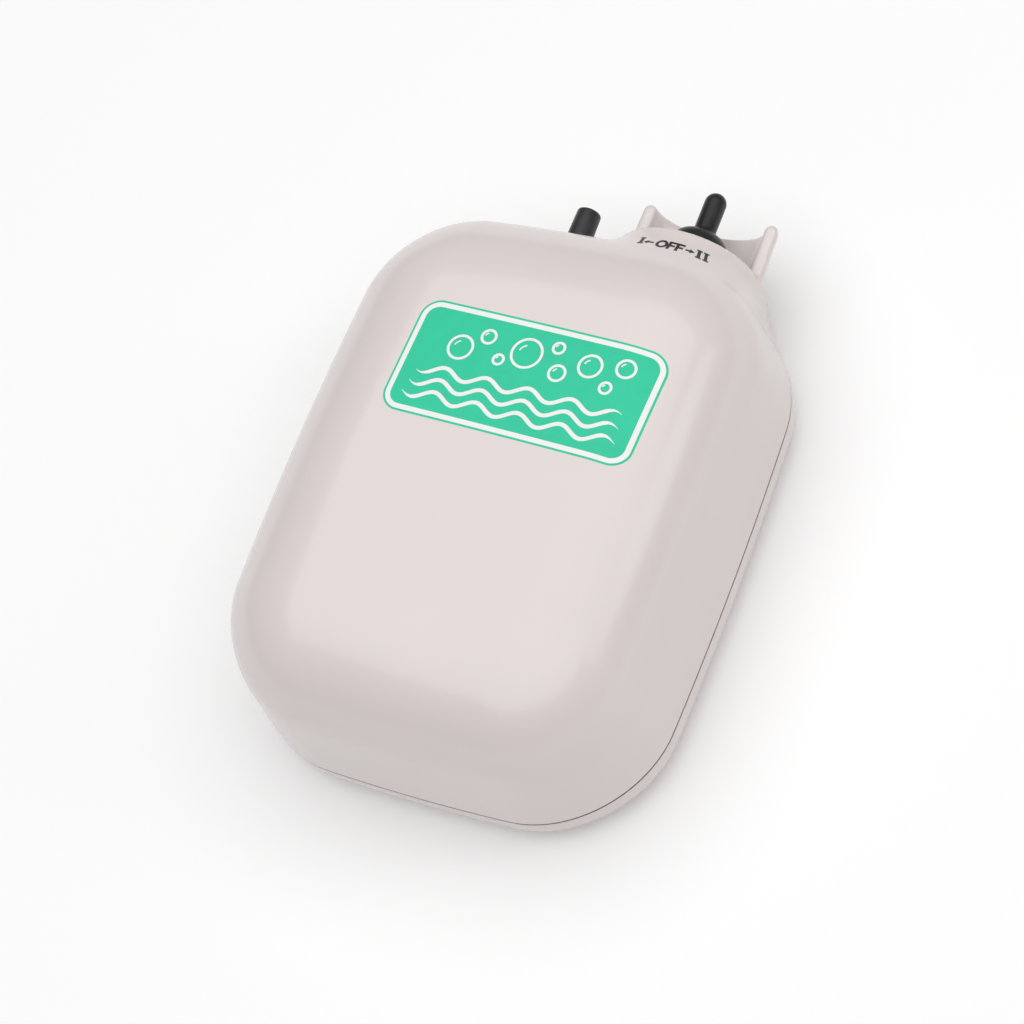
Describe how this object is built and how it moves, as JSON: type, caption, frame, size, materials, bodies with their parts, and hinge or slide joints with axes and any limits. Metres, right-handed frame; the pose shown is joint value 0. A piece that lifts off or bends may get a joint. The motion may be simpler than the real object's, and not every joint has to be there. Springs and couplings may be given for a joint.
{
  "type": "air pump",
  "caption": "Battery air pump with rounded two-piece case, sheltered toggle switch in a rubber boot and an airline nipple.",
  "frame": {"origin": "middle of the flat back of the rear cover, on which the pump lies", "axes": "+Z out of the front face, +Y towards the switch and the air outlet, +X to the right seen from the front"},
  "size_m": [0.0942, 0.1398, 0.047],
  "materials": {
    "shell": "glossy moulded, warm white",
    "black_rubber": "satin",
    "black_plastic": "satin",
    "grey_plastic": "moulded",
    "steel": "plated",
    "brass": "machined",
    "copper": "enamelled windings",
    "ferrite": "sintered",
    "cell_wrap": "printed foil",
    "resistor_tan": "lacquered",
    "red_wire": "sleeved",
    "black_wire": "sleeved",
    "print_green": "pad print",
    "print_white": "pad print",
    "print_black": "pad print"
  },
  "bodies": {
    "case": {"battery_1": "cell_wrap", "battery_2": "cell_wrap", "boot_base": "black_rubber", "bottom_link": "steel", "chassis": "grey_plastic", "chassis_screw_1": "steel", "chassis_screw_2": "steel", "chassis_screw_3": "steel", "coin_insert": "brass", "contact_spring_1": "steel", "contact_spring_2": "steel", "diaphragm": "black_rubber", "front_cover": "shell", "motor_can": "steel", "motor_end_cap": "grey_plastic", "motor_magnet_1": "ferrite", "motor_magnet_2": "ferrite", "motor_terminal_1": "brass", "motor_terminal_2": "brass", "motor_wire": "black_wire", "nipple_seal": "black_rubber", "outlet_nipple": "black_plastic", "pump_cap": "grey_plastic", "pump_head": "grey_plastic", "pump_screw_1": "steel", "pump_screw_2": "steel", "speed_resistor": "resistor_tan", "speed_wire": "red_wire", "switch_body": "black_plastic", "switch_bushing": "steel", "switch_nut": "steel", "switch_terminal_1": "brass", "switch_terminal_2": "brass", "switch_terminal_3": "brass", "switch_wire": "red_wire", "top_contact_1": "steel", "top_contact_2": "steel"},
    "lever": {"toggle_lever": "steel", "boot_finger": "black_rubber"},
    "rotor": {"motor_shaft": "steel", "armature": "copper", "commutator": "brass", "eccentric": "brass"},
    "rod": {"connecting_rod": "grey_plastic"},
    "inlet_valve": {"inlet_flap": "black_rubber"},
    "outlet_valve": {"outlet_flap": "black_rubber"},
    "rear_cover": {"rear_cover": "shell", "case_gasket": "black_rubber", "coin_screw_seal": "black_rubber"},
    "coin_screw": {"coin_screw": "steel", "coin_screw_clip": "steel"}
  },
  "joints": [
    {"name": "lever_tilt", "type": "hinge", "parent": "case", "child": "lever", "pos_m": [0.0177, 0.063, 0.02], "axis": [0, 0, 1], "range_deg": [-12.5, 12.5]},
    {"name": "rotor_spin", "type": "hinge", "parent": "case", "child": "rotor", "pos_m": [-0.0088, 0.033, 0.02], "axis": [1, 0, 0], "continuous": true},
    {"name": "rod_swing", "type": "hinge", "parent": "rotor", "child": "rod", "pos_m": [-0.0088, 0.0322, 0.02], "axis": [1, 0, 0], "continuous": true, "deforming": ["diaphragm"]},
    {"name": "inlet_open", "type": "hinge", "parent": "case", "child": "inlet_valve", "pos_m": [-0.0054, 0.0461, 0.0225], "axis": [1, 0, 0], "range_deg": [-8, 0], "stiffness_Nm_per_rad": 0.00002},
    {"name": "outlet_open", "type": "hinge", "parent": "case", "child": "outlet_valve", "pos_m": [-0.0122, 0.0489, 0.0225], "axis": [1, 0, 0], "range_deg": [0, 15], "stiffness_Nm_per_rad": 0.00002},
    {"name": "cover_lift", "type": "slide", "parent": "case", "child": "rear_cover", "axis": [0, 0, -1], "range_m": [0, 0.06]},
    {"name": "coin_screw_turn", "type": "hinge", "parent": "rear_cover", "child": "coin_screw", "pos_m": [0, -0.015, 0], "axis": [0, 0, 1], "continuous": true}
  ],
  "couplings": [
    {"joint": "rod_swing", "follows": "rotor_spin", "ratio": -1}
  ]
}
